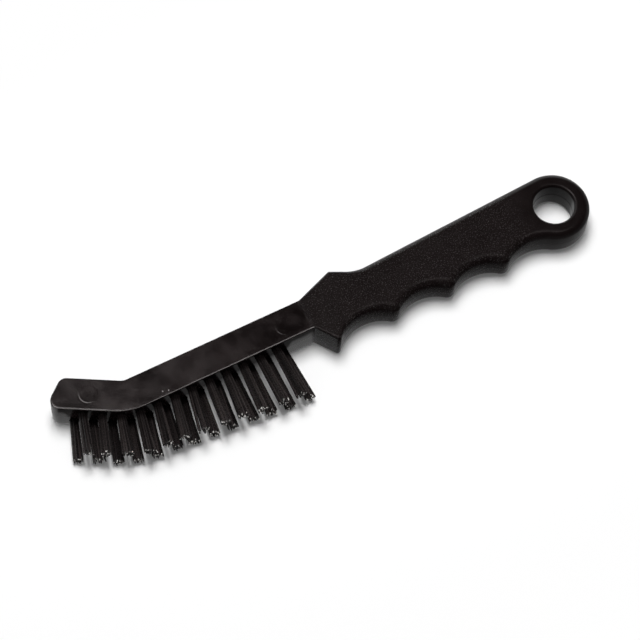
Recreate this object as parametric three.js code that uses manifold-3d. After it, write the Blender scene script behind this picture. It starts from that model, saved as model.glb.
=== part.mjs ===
// Grill brush: a moulded handle with a bent bar, two staggered rows of bristle tufts set in blind
// holes on one flank of the bar, and a flat wire anchor across the fold of every tuft.
// Millimetres. X runs along the bar from the nose to the hanging end, the bristles point to -Y and
// Z is the thickness: the brush lies on its side.
import * as THREE from "three";
import { mergeVertices } from "three/addons/utils/BufferGeometryUtils.js";
import Module from "manifold-3d";

const wasm = await Module();
wasm.setup();

// Bar and nose
const BODY_T = 13; // thickness of the whole moulding
const BAR_W = 12.5; // width of the bar across the bristle direction
const BEND_X = -77.5; // where the axis of the bar turns into the nose
const BEND_ANGLE = 30; // degrees, away from the bristles
const BEND_OUTER_R = 24; // bristle flank
const BEND_INNER_R = 4; // opposite flank
const NOSE_LENGTH = 8.4; // bar left beyond the root of the last tuft, along the flank
const NOSE_SQUARE = 4.7; // square part of the end, from the bristle flank
const NOSE_SETBACK = 3; // the far corner of the nose lies this much shorter
const NOSE_LOW_R = 3.4;
const NOSE_MID_R = 6;
const NOSE_HIGH_R = 3.2;
const BAR_EDGE = 0.6; // edge radius of the bar
const EDGE_SHARE = 0.9; // an edge radius stays under this share of the corner it runs round
const ROUND_SHARE = 0.98; // two roundings stay under this share of the straight between them

// Bolster and guard
const GUARD_X = -4.8; // where the bar ends and the bolster begins
const PEAK_X = 10.4;
const PEAK_Y = 12;
const PEAK_R = 1.2;
const PEAK_EDGE = 1;
const HOLLOW_X = 18.5; // thumb hollow behind the peak
const HOLLOW_Y = 7.95;
const HOLLOW_R = 16;
const GUARD_ANGLE = 34; // degrees that the guard leans towards the grip
const GUARD_INNER_R = 0.8;
const GUARD_TIP_R = 1.3;
const GUARD_EDGE = 1.1;

// Grip with its finger hollows, and the ring end
const FINGER_COUNT = 4;
const FINGER_R = 16;
const FINGER_FIRST_X = 14;
const FINGER_FIRST_Y = -9; // floor of the first hollow
const FINGER_LAST_Y = -10.4; // floor of the last hollow
const CUSP_R = 3.2; // rounding between two hollows
const GRIP_EDGE = 2.8; // edge radius of the grip
const RING_X = 98.7;
const RING_Y = -1.5;
const RING_R = 13.65;
const HANG_D = 15.4; // hanging hole
const HANG_EDGE = 1.2; // rounded rim of the hanging hole

// Tufts
const LOWER_COUNT = 13;
const UPPER_COUNT = 12;
const ROW_GAP = 6.6; // between the two rows, across the flank
const HEEL_X = -17.1; // root of the tuft next to the guard
const TUFT_PITCH = 6.85; // along the flank
const TUFT_LEAN = 19; // degrees towards the nose, at the nose
const LEAN_RUN = 72; // the lean grows evenly over this length of flank
const TRIM_HEEL = 20.5; // free length next to the guard
const TRIM_NOSE = 15.4; // free length at the nose
const TRIM_RUN = 62; // the trim falls over this length of flank
const TRIM_UNEVEN = 0.35; // how much single filaments stand out
const HOLE_D = 3.6;
const HOLE_DEPTH = 8;
const ROOT_GAP = 0.3; // clearance of the folded root in its hole
const ROOT_SINK = 0.8; // the folded root ends this far below the flank
const STRAND_R = 0.28; // to the corners of a three-sided strand
const INNER_STRANDS = 5;
const OUTER_STRANDS = 10;
const INNER_RING_R = 0.58;
const OUTER_RING_R = 1.16;
const TUFT_SPREAD = 1.4; // tip circle over root circle
const TUFT_TURN = 0.33; // each tuft is turned on by this share of a strand's step
const UNEVEN_STRAND = 2.4; // radians of unevenness from strand to strand
const UNEVEN_TUFT = 1.7; // and from tuft to tuft

// Anchors
const ANCHOR_T = 0.4;
const ANCHOR_H = 1.5;
const ANCHOR_GAP = 0.3; // clearance around the anchor
const FOLD_T = 0.9; // filament below the anchor

// Fineness of the faceted shapes
const ARC_STEP = 10; // degrees to a facet on small arcs
const EDGE_STEPS = 4;
const HOLE_SIDES = 12;
const HANG_SIDES = 36;
const ROOT_SIDES = 10;
const CUT_OVER = 3; // cutters reach this far past the surface they open

const HALF_T = BODY_T / 2;
const HALF_W = BAR_W / 2;
const deg = THREE.MathUtils.degToRad;
const vec = (x, y) => new THREE.Vector2(x, y);

const material = (color, roughness, metalness) =>
  new THREE.MeshStandardMaterial({ color, roughness, metalness });
const plastic = material(0x161514, 0.5, 0);
const nylon = material(0x121211, 0.3, 0);
const steel = material(0xa9abad, 0.35, 1);

// A closed solid from any geometry, keeping only its positions.
function solid(geometry) {
  const bare = new THREE.BufferGeometry();
  bare.setAttribute("position", geometry.getAttribute("position").clone());
  if (geometry.index) bare.setIndex(geometry.index.clone());
  const merged = mergeVertices(bare, 1e-5);
  return new wasm.Manifold(
    new wasm.Mesh({
      numProp: 3,
      vertProperties: Float32Array.from(merged.getAttribute("position").array),
      triVerts: Uint32Array.from(merged.index.array),
    }),
  );
}

function toGeometry(manifold) {
  const mesh = manifold.getMesh();
  const geometry = new THREE.BufferGeometry();
  geometry.setAttribute("position", new THREE.BufferAttribute(mesh.vertProperties, 3));
  geometry.setIndex(new THREE.BufferAttribute(mesh.triVerts, 1));
  return geometry;
}

// Points on an arc from one angle to another, both in radians.
function arc(centre, radius, from, to) {
  const steps = Math.max(2, Math.ceil(Math.abs(to - from) / deg(ARC_STEP)));
  return Array.from({ length: steps + 1 }, (_, i) => {
    const a = from + ((to - from) * i) / steps;
    return vec(centre.x + radius * Math.cos(a), centre.y + radius * Math.sin(a));
  });
}

const angleTo = (centre, point) => Math.atan2(point.y - centre.y, point.x - centre.x);

// The shorter arc between two points on a circle.
function arcBetween(centre, radius, start, end) {
  const from = angleTo(centre, start);
  const turn = Math.atan2(Math.sin(angleTo(centre, end) - from), Math.cos(angleTo(centre, end) - from));
  return arc(centre, radius, from, from + turn);
}

// A corner between two straight edges, rounded to a radius.
function corner(before, at, after, radius) {
  const u = before.clone().sub(at).normalize();
  const v = after.clone().sub(at).normalize();
  const half = Math.acos(u.dot(v)) / 2;
  const reach = radius / Math.tan(half);
  const centre = u.clone().add(v).normalize().multiplyScalar(radius / Math.sin(half)).add(at);
  return arcBetween(
    centre,
    radius,
    u.clone().multiplyScalar(reach).add(at),
    v.clone().multiplyScalar(reach).add(at),
  );
}

// Share to which two neighbouring roundings are limited by the straight between them.
const roundFit = (straight, before, after) => Math.min(1, (ROUND_SHARE * straight) / (before + after));

// Point on the circle around one centre that faces another centre.
const facing = (centre, radius, other) =>
  other.clone().sub(centre).normalize().multiplyScalar(radius).add(centre);

// Nose coordinates: along its axis from the bend, and across it with the bristle flank negative.
const noseAxis = vec(-Math.cos(deg(BEND_ANGLE)), Math.sin(deg(BEND_ANGLE)));
const noseAcross = vec(Math.sin(deg(BEND_ANGLE)), Math.cos(deg(BEND_ANGLE)));
const nosePoint = (along, across) =>
  vec(BEND_X, 0).addScaledVector(noseAxis, along).addScaledVector(noseAcross, across);
const bendShift = HALF_W * Math.tan(deg(BEND_ANGLE / 2));

// The bristle flank from the tuft next to the guard: straight, then the bend, then the nose.
const bendTangent = BEND_OUTER_R * Math.tan(deg(BEND_ANGLE / 2));
const flankStraight = HEEL_X - (BEND_X - bendShift + bendTangent);
const flankBend = BEND_OUTER_R * deg(BEND_ANGLE);
const rowRun = TUFT_PITCH * Math.max(LOWER_COUNT - 1, UPPER_COUNT - 0.5);
const noseRun = rowRun + NOSE_LENGTH - flankStraight - flankBend + bendTangent - bendShift;

// Plan outline of the moulding, counter-clockwise, as stretches with an edge radius at either end.
function outlineStretches() {
  const ring = vec(RING_X, RING_Y);
  const hollow = vec(HOLLOW_X, HOLLOW_Y);
  const peak = vec(PEAK_X, PEAK_Y);
  const rampStart = vec(GUARD_X, HALF_W);
  const guardRoot = vec(GUARD_X, -HALF_W);
  const lowBend = vec(BEND_X - bendShift, -HALF_W);
  const highBend = vec(BEND_X + bendShift, HALF_W);
  const noseLow = nosePoint(noseRun, -HALF_W);
  const noseMid = nosePoint(noseRun, NOSE_SQUARE - HALF_W);
  const noseHigh = nosePoint(noseRun - NOSE_SETBACK, HALF_W);
  const noseTurn = Math.atan2(NOSE_SETBACK, BAR_W - NOSE_SQUARE);
  const midReach = NOSE_MID_R * Math.tan(noseTurn / 2);
  const highReach = NOSE_HIGH_R * Math.tan(Math.PI / 4 - noseTurn / 2);
  const squareFit = roundFit(NOSE_SQUARE, NOSE_LOW_R, midReach);
  const slantFit = roundFit(noseMid.distanceTo(noseHigh), midReach, highReach);
  const gripEdge = Math.min(GRIP_EDGE, EDGE_SHARE * CUSP_R);
  const peakEdge = Math.min(PEAK_EDGE, EDGE_SHARE * PEAK_R);
  const guardEdge = Math.min(GUARD_EDGE, EDGE_SHARE * GUARD_TIP_R);

  // The spine is the tangent from the thumb hollow to the ring.
  const reach = ring.distanceTo(hollow);
  const spineAngle = angleTo(hollow, ring) + Math.asin(RING_R / reach);
  const spineLength = Math.sqrt(reach * reach - RING_R * RING_R);
  const spineEnd = vec(Math.cos(spineAngle), Math.sin(spineAngle)).multiplyScalar(spineLength).add(hollow);

  // Finger circles: the last one touches the ring, the others share the way to the first.
  const lastY = FINGER_LAST_Y - FINGER_R;
  const lastX = RING_X - Math.sqrt((FINGER_R + RING_R) ** 2 - (RING_Y - lastY) ** 2);
  const fingers = Array.from({ length: FINGER_COUNT }, (_, i) => {
    const t = i / (FINGER_COUNT - 1);
    const floor = THREE.MathUtils.lerp(FINGER_FIRST_Y, FINGER_LAST_Y, t);
    return vec(THREE.MathUtils.lerp(FINGER_FIRST_X, lastX, t), floor - FINGER_R);
  });
  // Rounding circle between two neighbouring finger circles.
  const cusps = fingers.slice(1).map((next, i) => {
    const gap = next.clone().sub(fingers[i]);
    const rise = Math.sqrt((FINGER_R + CUSP_R) ** 2 - gap.lengthSq() / 4);
    const up = vec(-gap.y, gap.x).normalize();
    return fingers[i].clone().addScaledVector(gap, 0.5).addScaledVector(up, rise);
  });
  // Rounding circle at the tip of the guard, between its straight front and the first finger.
  const frontDir = vec(Math.sin(deg(GUARD_ANGLE)), -Math.cos(deg(GUARD_ANGLE)));
  const inward = vec(-frontDir.y, frontDir.x);
  const offset = guardRoot.clone().addScaledVector(inward, GUARD_TIP_R);
  const toFinger = offset.clone().sub(fingers[0]);
  const along = toFinger.dot(frontDir);
  const run = -along - Math.sqrt(along * along - toFinger.lengthSq() + (FINGER_R + GUARD_TIP_R) ** 2);
  const tip = offset.addScaledVector(frontDir, run);
  const tipFront = tip.clone().addScaledVector(inward, -GUARD_TIP_R);
  const tipBack = facing(fingers[0], FINGER_R, tip);

  const ringLow = facing(ring, RING_R, fingers[FINGER_COUNT - 1]);
  const fingerSide = [];
  for (let i = 1; i < FINGER_COUNT; i += 1) {
    const enter = facing(fingers[i], FINGER_R, cusps[i - 1]);
    const leave = i < FINGER_COUNT - 1 ? facing(fingers[i], FINGER_R, cusps[i]) : ringLow;
    const cuspStart = facing(fingers[i - 1], FINGER_R, cusps[i - 1]);
    fingerSide.push(...arcBetween(cusps[i - 1], CUSP_R, cuspStart, enter).slice(0, -1));
    fingerSide.push(...arcBetween(fingers[i], FINGER_R, enter, leave).slice(0, -1));
  }
  const firstFinger = arcBetween(fingers[0], FINGER_R, tipBack, facing(fingers[0], FINGER_R, cusps[0]));
  const ringFrom = angleTo(ring, ringLow);
  const ringTo = angleTo(ring, spineEnd);

  return [
    {
      from: BAR_EDGE,
      to: BAR_EDGE,
      points: [
        ...corner(rampStart, highBend, noseHigh, BEND_INNER_R),
        ...corner(highBend, noseHigh, noseMid, NOSE_HIGH_R * slantFit),
        ...corner(noseHigh, noseMid, noseLow, NOSE_MID_R * Math.min(squareFit, slantFit)),
        ...corner(noseMid, noseLow, lowBend, NOSE_LOW_R * squareFit),
        ...corner(noseLow, lowBend, guardRoot, BEND_OUTER_R),
        ...corner(lowBend, guardRoot, tipFront, GUARD_INNER_R),
      ],
    },
    { from: BAR_EDGE, to: guardEdge, points: [tipFront] },
    { from: guardEdge, to: guardEdge, points: arcBetween(tip, GUARD_TIP_R, tipFront, tipBack).slice(1, -1) },
    { from: guardEdge, to: gripEdge, points: firstFinger.slice(0, -1) },
    {
      from: gripEdge,
      to: gripEdge,
      points: [...fingerSide, ...arc(ring, RING_R, ringFrom, ringTo)],
    },
    { from: gripEdge, to: peakEdge, points: corner(spineEnd, hollow, peak, HOLLOW_R) },
    { from: peakEdge, to: peakEdge, points: corner(hollow, peak, rampStart, PEAK_R) },
    { from: BAR_EDGE, to: BAR_EDGE, points: [rampStart] },
  ];
}

// The outline as points with their edge radii.
function outline() {
  const points = [];
  const radii = [];
  for (const stretch of outlineStretches()) {
    stretch.points.forEach((point, i) => {
      const t = stretch.points.length > 1 ? i / (stretch.points.length - 1) : 1;
      points.push(point);
      radii.push(THREE.MathUtils.lerp(stretch.from, stretch.to, t));
    });
  }
  return { points, radii };
}

// The moulding without its holes: rings of the outline, drawn in along rounded edges.
function moulding() {
  const { points, radii } = outline();
  const count = points.length;
  const inward = points.map((point, i) => {
    const before = point.clone().sub(points[(i + count - 1) % count]).normalize();
    const after = points[(i + 1) % count].clone().sub(point).normalize();
    const sum = vec(-before.y - after.y, before.x + after.x);
    return sum.multiplyScalar(2 / sum.lengthSq());
  });
  const positions = [];
  const addRing = (draw, side) => {
    points.forEach((point, i) => {
      const p = point.clone().addScaledVector(inward[i], radii[i] * (1 - Math.sin(draw)));
      positions.push(p.x, p.y, side * (HALF_T - radii[i] * (1 - Math.cos(draw))));
    });
  };
  for (let k = 0; k <= EDGE_STEPS; k += 1) addRing((k / EDGE_STEPS) * (Math.PI / 2), 1);
  for (let k = EDGE_STEPS; k >= 0; k -= 1) addRing((k / EDGE_STEPS) * (Math.PI / 2), -1);
  const rings = 2 * EDGE_STEPS + 2;
  const index = [];
  for (let k = 0; k < rings - 1; k += 1) {
    for (let i = 0; i < count; i += 1) {
      const a = k * count + i;
      const b = k * count + ((i + 1) % count);
      index.push(a, a + count, b, b, a + count, b + count);
    }
  }
  const flat = points.map((_, i) => vec(positions[3 * i], positions[3 * i + 1]));
  for (const [a, b, c] of THREE.ShapeUtils.triangulateShape(flat, [])) {
    const last = (rings - 1) * count;
    index.push(a, b, c, last + a, last + c, last + b);
  }
  const geometry = new THREE.BufferGeometry();
  geometry.setAttribute("position", new THREE.Float32BufferAttribute(positions, 3));
  geometry.setIndex(index);
  return solid(geometry);
}

// Cutter for the hanging hole: a bore that flares over a rounded rim at both faces.
function hangingBore() {
  const radius = HANG_D / 2;
  const past = HALF_T + CUT_OVER;
  const rim = arc(vec(radius + HANG_EDGE, HALF_T - HANG_EDGE), HANG_EDGE, Math.PI, Math.PI / 2);
  const upper = [...rim, vec(radius + HANG_EDGE, past), vec(0, past)];
  const lower = upper.map((p) => vec(p.x, -p.y)).reverse();
  const geometry = new THREE.LatheGeometry([...lower, ...upper], HANG_SIDES);
  geometry.rotateX(Math.PI / 2);
  geometry.translate(RING_X, RING_Y, 0);
  return solid(geometry);
}

// Point on the bristle flank at a length of flank from the tuft next to the guard.
function flankPoint(length) {
  if (length < flankStraight) return vec(HEEL_X - length, -HALF_W);
  const centre = vec(HEEL_X - flankStraight, BEND_OUTER_R - HALF_W);
  const turn = Math.min(length - flankStraight, flankBend) / BEND_OUTER_R;
  const onArc = vec(-Math.sin(turn), -Math.cos(turn)).multiplyScalar(BEND_OUTER_R).add(centre);
  return onArc.addScaledVector(noseAxis, Math.max(0, length - flankStraight - flankBend));
}

// Where one tuft stands: root on the flank, matrix with Y along the tuft, and its free length.
function tuftSeat(length, z) {
  const root = flankPoint(length);
  const lean = deg(TUFT_LEAN) * Math.min(1, length / LEAN_RUN);
  const trim = THREE.MathUtils.lerp(TRIM_HEEL, TRIM_NOSE, Math.min(1, length / TRIM_RUN));
  const matrix = new THREE.Matrix4().makeRotationZ(Math.PI - lean).setPosition(root.x, root.y, z);
  return { matrix, trim };
}

function tuftHole(seat) {
  const length = HOLE_DEPTH + CUT_OVER;
  const geometry = new THREE.CylinderGeometry(HOLE_D / 2, HOLE_D / 2, length, HOLE_SIDES);
  geometry.translate(0, (CUT_OVER - HOLE_DEPTH) / 2, 0);
  return solid(geometry.applyMatrix4(seat.matrix));
}

// One three-sided strand between two points, with a flat side turned to the given angle.
function strand(start, end, turn) {
  const ends = [start, end].flatMap((p) =>
    [0, 1, 2].flatMap((i) => {
      const a = turn + ((1 - 2 * i) * Math.PI) / 3;
      return [p.x + STRAND_R * Math.cos(a), p.y, p.z + STRAND_R * Math.sin(a)];
    }),
  );
  const geometry = new THREE.BufferGeometry();
  geometry.setAttribute("position", new THREE.Float32BufferAttribute(ends, 3));
  const index = [0, 2, 1, 3, 4, 5];
  for (let i = 0; i < 3; i += 1) {
    const j = (i + 1) % 3;
    index.push(i, j, i + 3, j, j + 3, i + 3);
  }
  geometry.setIndex(index);
  return solid(geometry);
}

// A tuft: the folded root in the hole with a passage for the anchor, and the strands fused to it.
function tuft(seat, number) {
  const rootLow = -HOLE_DEPTH + ROOT_GAP;
  const rootHigh = -ROOT_SINK;
  const rootR = HOLE_D / 2 - ROOT_GAP;
  const root = new THREE.CylinderGeometry(rootR, rootR, rootHigh - rootLow, ROOT_SIDES);
  root.translate(0, (rootHigh + rootLow) / 2, 0);
  const passage = new THREE.BoxGeometry(HOLE_D, ANCHOR_H + 2 * ANCHOR_GAP, ANCHOR_T + 2 * ANCHOR_GAP);
  passage.translate(0, rootLow + FOLD_T + ANCHOR_GAP + ANCHOR_H / 2, 0);
  const pieces = [solid(root).subtract(solid(passage))];
  const rings = [
    { count: 1, radius: 0 },
    { count: INNER_STRANDS, radius: INNER_RING_R },
    { count: OUTER_STRANDS, radius: OUTER_RING_R },
  ];
  for (const ring of rings) {
    for (let i = 0; i < ring.count; i += 1) {
      const a = (2 * Math.PI * (i + TUFT_TURN * number)) / ring.count;
      const uneven = TRIM_UNEVEN * Math.sin(UNEVEN_STRAND * (i + ring.count) + UNEVEN_TUFT * number);
      const x = ring.radius * Math.cos(a);
      const z = ring.radius * Math.sin(a);
      const start = new THREE.Vector3(x, rootHigh - ROOT_GAP, z);
      const end = new THREE.Vector3(x * TUFT_SPREAD, seat.trim + uneven, z * TUFT_SPREAD);
      pieces.push(strand(start, end, a));
    }
  }
  return toGeometry(wasm.Manifold.union(pieces));
}

function anchor() {
  const geometry = new THREE.BoxGeometry(HOLE_D - 2 * ANCHOR_GAP, ANCHOR_H, ANCHOR_T);
  return geometry.translate(0, -HOLE_DEPTH + ROOT_GAP + FOLD_T + ANCHOR_GAP + ANCHOR_H / 2, 0);
}

const brush = new THREE.Group();
const place = (parent, name, geometry, look, matrix) => {
  const mesh = new THREE.Mesh(geometry, look.clone());
  mesh.name = name;
  if (matrix) mesh.applyMatrix4(matrix);
  parent.add(mesh);
};

const rows = [
  { name: "lower", count: LOWER_COUNT, z: -ROW_GAP / 2, first: 0 },
  { name: "upper", count: UPPER_COUNT, z: ROW_GAP / 2, first: TUFT_PITCH / 2 },
];
const cutters = [hangingBore()];
for (const row of rows) {
  const set = new THREE.Group();
  for (let i = 0; i < row.count; i += 1) {
    const seat = tuftSeat(row.first + i * TUFT_PITCH, row.z);
    const label = `${row.name}_${String(i + 1).padStart(2, "0")}`;
    place(set, `tuft_${label}`, tuft(seat, i), nylon, seat.matrix);
    place(set, `anchor_${label}`, anchor(), steel, seat.matrix);
    cutters.push(tuftHole(seat));
  }
  brush.add(set);
}
place(brush, "handle", toGeometry(moulding().subtract(wasm.Manifold.union(cutters))), plastic);

// The origin lies under the middle of the whole brush.
const box = new THREE.Box3().setFromObject(brush, true);
const middle = box.getCenter(new THREE.Vector3());
brush.position.set(-middle.x, -middle.y, -box.min.z);

const scene = new THREE.Group();
scene.name = "grill_brush";
scene.add(brush);

export default scene;
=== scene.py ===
# %% [markdown]
# # A grill brush
# The brush is one black moulding with a bent bar, a guard, a grip with finger hollows and a ring end
# to hang it by. Two staggered rows of nylon tufts stand in blind holes on one flank of the bar. The
# construction is loaded as a fixed frame, and this lesson gives it its fine surfaces and finishes.

import bmesh
import bpy
import numpy as np
from mathutils import Matrix, Vector, geometry


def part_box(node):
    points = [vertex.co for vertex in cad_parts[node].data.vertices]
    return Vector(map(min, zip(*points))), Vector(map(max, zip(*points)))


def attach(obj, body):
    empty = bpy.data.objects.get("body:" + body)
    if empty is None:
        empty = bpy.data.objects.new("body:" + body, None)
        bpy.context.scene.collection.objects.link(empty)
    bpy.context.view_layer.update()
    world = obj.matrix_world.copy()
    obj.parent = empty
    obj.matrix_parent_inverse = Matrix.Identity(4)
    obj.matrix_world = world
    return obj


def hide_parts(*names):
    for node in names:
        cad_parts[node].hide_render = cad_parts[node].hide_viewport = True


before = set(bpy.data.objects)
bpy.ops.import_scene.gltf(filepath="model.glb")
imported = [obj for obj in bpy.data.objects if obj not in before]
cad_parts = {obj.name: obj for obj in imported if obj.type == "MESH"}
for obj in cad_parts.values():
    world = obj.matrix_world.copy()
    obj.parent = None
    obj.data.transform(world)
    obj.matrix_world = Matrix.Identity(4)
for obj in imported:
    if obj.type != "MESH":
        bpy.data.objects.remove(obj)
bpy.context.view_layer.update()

MM = 0.001

# %% [markdown]
# ## Sizes
# The plan of the brush is drawn in millimetres around the axis of the straight bar, with X from the
# nose to the ring and the bristles towards -Y. These are the sizes that the construction uses, so
# that every new surface lies where its solid does. Only the last step, which fills a mesh, turns
# them into metres of the shared frame.

# %% Sizes of the moulding
BODY_T = 13.0
BAR_W = 12.5
BEND_X = -77.5
BEND_TURN = np.radians(30)
BEND_OUTER_R = 24.0
BEND_INNER_R = 4.0
NOSE_LENGTH = 8.4
NOSE_SQUARE = 4.7
NOSE_SETBACK = 3.0
NOSE_LOW_R = 3.4
NOSE_MID_R = 6.0
NOSE_HIGH_R = 3.2
GUARD_X = -4.8
GUARD_TURN = np.radians(34)
GUARD_INNER_R = 0.8
GUARD_TIP_R = 1.3
PEAK = np.array([10.4, 12.0])
PEAK_R = 1.2
HOLLOW = np.array([18.5, 7.95])
HOLLOW_R = 16.0
FINGER_COUNT = 4
FINGER_R = 16.0
FINGER_FIRST_X = 14.0
FINGER_FIRST_Y = -9.0
FINGER_LAST_Y = -10.4
CUSP_R = 3.2
RING = np.array([98.7, -1.5])
RING_R = 13.65
HANG_R = 7.7
HALF_T = BODY_T / 2
HALF_W = BAR_W / 2

# %% Edge radii
BAR_EDGE = 0.6
GUARD_EDGE = 1.1
GRIP_EDGE = 2.8
PEAK_EDGE = 1.0
HANG_EDGE = 1.2

# %% Sizes of the tufts
ROWS = {"lower": (13, -3.3, 0.0), "upper": (12, 3.3, 0.5)}  # count, height from mid-plane, first pitch
TUFT_PITCH = 6.85
HEEL_X = -17.1
TUFT_LEAN = np.radians(19)
LEAN_RUN = 72.0  # length of flank over which the lean grows
TRIM_HEEL = 20.5  # free length of the tufts at the guard
TRIM_NOSE = 15.4
TRIM_RUN = 62.0  # length of flank over which it falls to the nose's
HOLE_R = 1.8
HOLE_DEPTH = 8.0
ANCHOR_MIDDLE = 5.75  # depth of an anchor's middle below the flank
ANCHOR_H = 1.5
ANCHOR_T = 0.4

# %% [markdown]
# The anchor of the tuft next to the guard stands square to the bar, straight under its root. So the
# middle of its box ties the plan to the frame, to the micrometre, whatever the overall length is.

# %% From the plan to the frame
heel_low, heel_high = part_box("anchor_lower_01")
heel_anchor = np.array(heel_low + heel_high) / 2
ORIGIN = heel_anchor - MM * np.array([HEEL_X, ANCHOR_MIDDLE - HALF_W, ROWS["lower"][1]])


def to_frame(points):
    """Plan millimetres to metres of the frame: scale, then shift by the origin of the plan."""
    return np.asarray(points) * MM + ORIGIN


print("origin of the plan in mm:", np.round(ORIGIN / MM, 3))

# %% [markdown]
# ## The camera
# The photograph looks down steeply from the bristle side with a long lens, slightly rolled. The
# camera is placed by the point it aims at, the direction it looks in and its distance.

# %% Camera
VIEW_AZIMUTH = np.radians(-32.0)
VIEW_ELEVATION = np.radians(63.63)
VIEW_ROLL = np.radians(4.54)
VIEW_DISTANCE = 0.9519
VIEW_AIM = to_frame([0.0, -1.765, 0.0])
LENS = 146.25  # millimetres before a sensor 36 wide


def look_and_axes(azimuth, elevation, roll):
    """The direction of sight, and the picture's right and up axes turned about it by the roll."""
    level = np.array([-np.sin(azimuth), np.cos(azimuth), 0.0])
    look = level * np.cos(elevation) - np.array([0.0, 0.0, np.sin(elevation)])
    right = np.array([np.cos(azimuth), np.sin(azimuth), 0.0])
    up = np.cross(right, look)
    return look, right * np.cos(roll) + up * np.sin(roll), up * np.cos(roll) - right * np.sin(roll)


look, right, up = look_and_axes(VIEW_AZIMUTH, VIEW_ELEVATION, VIEW_ROLL)
camera = bpy.data.objects.new("camera", bpy.data.cameras.new("camera"))
camera.data.lens = LENS
pose = np.eye(4)
pose[:3, :3] = np.stack([right, up, -look], axis=1)
pose[:3, 3] = VIEW_AIM - look * VIEW_DISTANCE
camera.matrix_world = Matrix(pose.tolist())
bpy.context.scene.collection.objects.link(camera)
bpy.context.scene.camera = camera
print("camera at", np.round(pose[:3, 3], 4))

# %% [markdown]
# ## Drawing the plan
# The outline is a chain of straight edges and arcs. Each arc is a formula: a rounded corner between
# two edges, or a circle that touches its neighbours. Every point also carries the radius of the
# rounded edge that the moulding has there, small on the bar and large on the grip.

# %% Arcs and corners
ARC_STEP = np.radians(3)


def unit(v):
    """A vector at length one."""
    return v / np.linalg.norm(v)


def angle_to(centre, point):
    """Angle of a point seen from a centre."""
    return np.arctan2(point[1] - centre[1], point[0] - centre[0])


def arc(centre, radius, start, turn):
    """Centre plus radius times (cosine, sine) of an angle that runs from start over a turn."""
    steps = max(2, int(np.ceil(abs(turn) / ARC_STEP)))
    a = start + np.linspace(0.0, turn, steps + 1)
    return centre + radius * np.stack([np.cos(a), np.sin(a)], axis=1)


def arc_between(centre, radius, start, end):
    """The shorter arc from one point of a circle to another."""
    first = angle_to(centre, start)
    turn = (angle_to(centre, end) - first + np.pi) % (2 * np.pi) - np.pi
    return arc(centre, radius, first, turn)


def corner(before, at, after, radius):
    """A corner between two edges, rounded by the circle that touches both."""
    u, v = unit(before - at), unit(after - at)
    half = np.arccos(u @ v) / 2
    centre = at + unit(u + v) * radius / np.sin(half)
    reach = radius / np.tan(half)
    return arc_between(centre, radius, at + u * reach, at + v * reach)


def facing(centre, radius, other):
    """The point of a circle that faces another centre."""
    return centre + unit(other - centre) * radius


# %% [markdown]
# The bristle flank runs straight from the guard, then round the bend, then along the nose. Lengths
# on it are counted from the tuft next to the guard, because the tufts stand at even lengths. The
# nose ends a set length past the last tuft.

# %% The bristle flank
BEND_SHIFT = HALF_W * np.tan(BEND_TURN / 2)
BEND_TANGENT = BEND_OUTER_R * np.tan(BEND_TURN / 2)
FLANK_STRAIGHT = HEEL_X - (BEND_X - BEND_SHIFT + BEND_TANGENT)
FLANK_BEND = BEND_OUTER_R * BEND_TURN
ROW_RUN = TUFT_PITCH * max(count - 1 + first for count, _, first in ROWS.values())
NOSE_RUN = ROW_RUN + NOSE_LENGTH - FLANK_STRAIGHT - FLANK_BEND + BEND_TANGENT - BEND_SHIFT
NOSE_AXIS = np.array([-np.cos(BEND_TURN), np.sin(BEND_TURN)])
NOSE_ACROSS = np.array([np.sin(BEND_TURN), np.cos(BEND_TURN)])


def nose_point(along, across):
    """A point of the nose, along its axis from the bend and across it."""
    return np.array([BEND_X, 0.0]) + along * NOSE_AXIS + across * NOSE_ACROSS


def flank_at(length):
    """Point of the flank, and the angle it has turned through, at a length from the heel tuft."""
    turn = np.clip(length - FLANK_STRAIGHT, 0.0, FLANK_BEND) / BEND_OUTER_R
    straight = min(length, FLANK_STRAIGHT)
    x = HEEL_X - straight - BEND_OUTER_R * np.sin(turn)
    y = -HALF_W + BEND_OUTER_R * (1 - np.cos(turn))
    beyond = max(0.0, length - FLANK_STRAIGHT - FLANK_BEND)
    return np.array([x, y]) + beyond * NOSE_AXIS, turn


# %% The outline, stretch by stretch
def bar_stretches(guard_root, tip_front):
    """The upper edge of the bar, the nose, the bristle flank and the inner corner of the guard."""
    ramp = np.array([GUARD_X, HALF_W])
    low_bend = np.array([BEND_X - BEND_SHIFT, -HALF_W])
    high_bend = np.array([BEND_X + BEND_SHIFT, HALF_W])
    nose_low = nose_point(NOSE_RUN, -HALF_W)
    nose_mid = nose_point(NOSE_RUN, NOSE_SQUARE - HALF_W)
    nose_high = nose_point(NOSE_RUN - NOSE_SETBACK, HALF_W)
    nose = np.concatenate([
        corner(ramp, high_bend, nose_high, BEND_INNER_R),
        corner(high_bend, nose_high, nose_mid, NOSE_HIGH_R),
        corner(nose_high, nose_mid, nose_low, NOSE_MID_R),
        corner(nose_mid, nose_low, low_bend, NOSE_LOW_R),
    ])
    return [
        ("nose", BAR_EDGE, BAR_EDGE, nose),
        ("flank", BAR_EDGE, BAR_EDGE, corner(nose_low, low_bend, guard_root, BEND_OUTER_R)),
        ("inner_corner", BAR_EDGE, BAR_EDGE, corner(low_bend, guard_root, tip_front, GUARD_INNER_R)),
    ]


def finger_circles():
    """Centres of the finger hollows: the last touches the ring, the others share the way to the first."""
    last_y = FINGER_LAST_Y - FINGER_R
    last_x = RING[0] - np.sqrt((FINGER_R + RING_R) ** 2 - (RING[1] - last_y) ** 2)
    return np.linspace([FINGER_FIRST_X, FINGER_FIRST_Y - FINGER_R], [last_x, last_y], FINGER_COUNT)


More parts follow.
